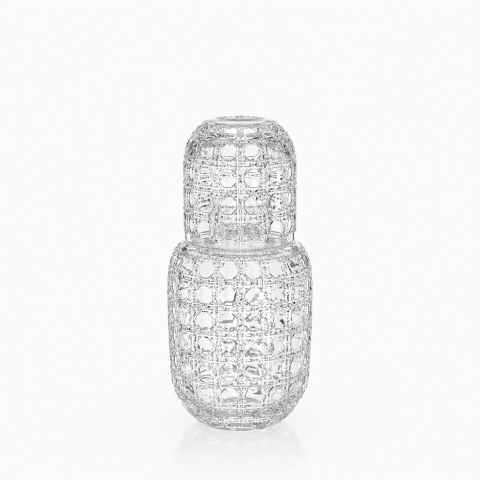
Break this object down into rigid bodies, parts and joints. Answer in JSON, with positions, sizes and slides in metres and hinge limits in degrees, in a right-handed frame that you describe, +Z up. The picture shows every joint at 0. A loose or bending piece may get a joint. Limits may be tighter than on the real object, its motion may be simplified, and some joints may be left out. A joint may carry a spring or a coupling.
{
  "type": "carafe with tumbler",
  "caption": "Bedside water carafe in clear glass with a cane-work cut, its tumbler turned upside down over the neck to close it.",
  "frame": {"origin": "centre of the carafe's foot, on the surface that it stands on", "axes": "+Z up along the common axis of carafe and tumbler; the front, towards -Y, falls between two columns of buttons"},
  "size_m": [0.0948, 0.095, 0.2],
  "materials": {
    "carafe_glass": "clear, fire-polished",
    "tumbler_glass": "clear, fire-polished"
  },
  "bodies": {
    "carafe": {"carafe": "carafe_glass"},
    "tumbler": {"tumbler": "tumbler_glass"}
  },
  "joints": [
    {"name": "tumbler_lift", "type": "slide", "parent": "carafe", "child": "tumbler", "axis": [0, 0, 1], "range_m": [0, 0.05]}
  ]
}
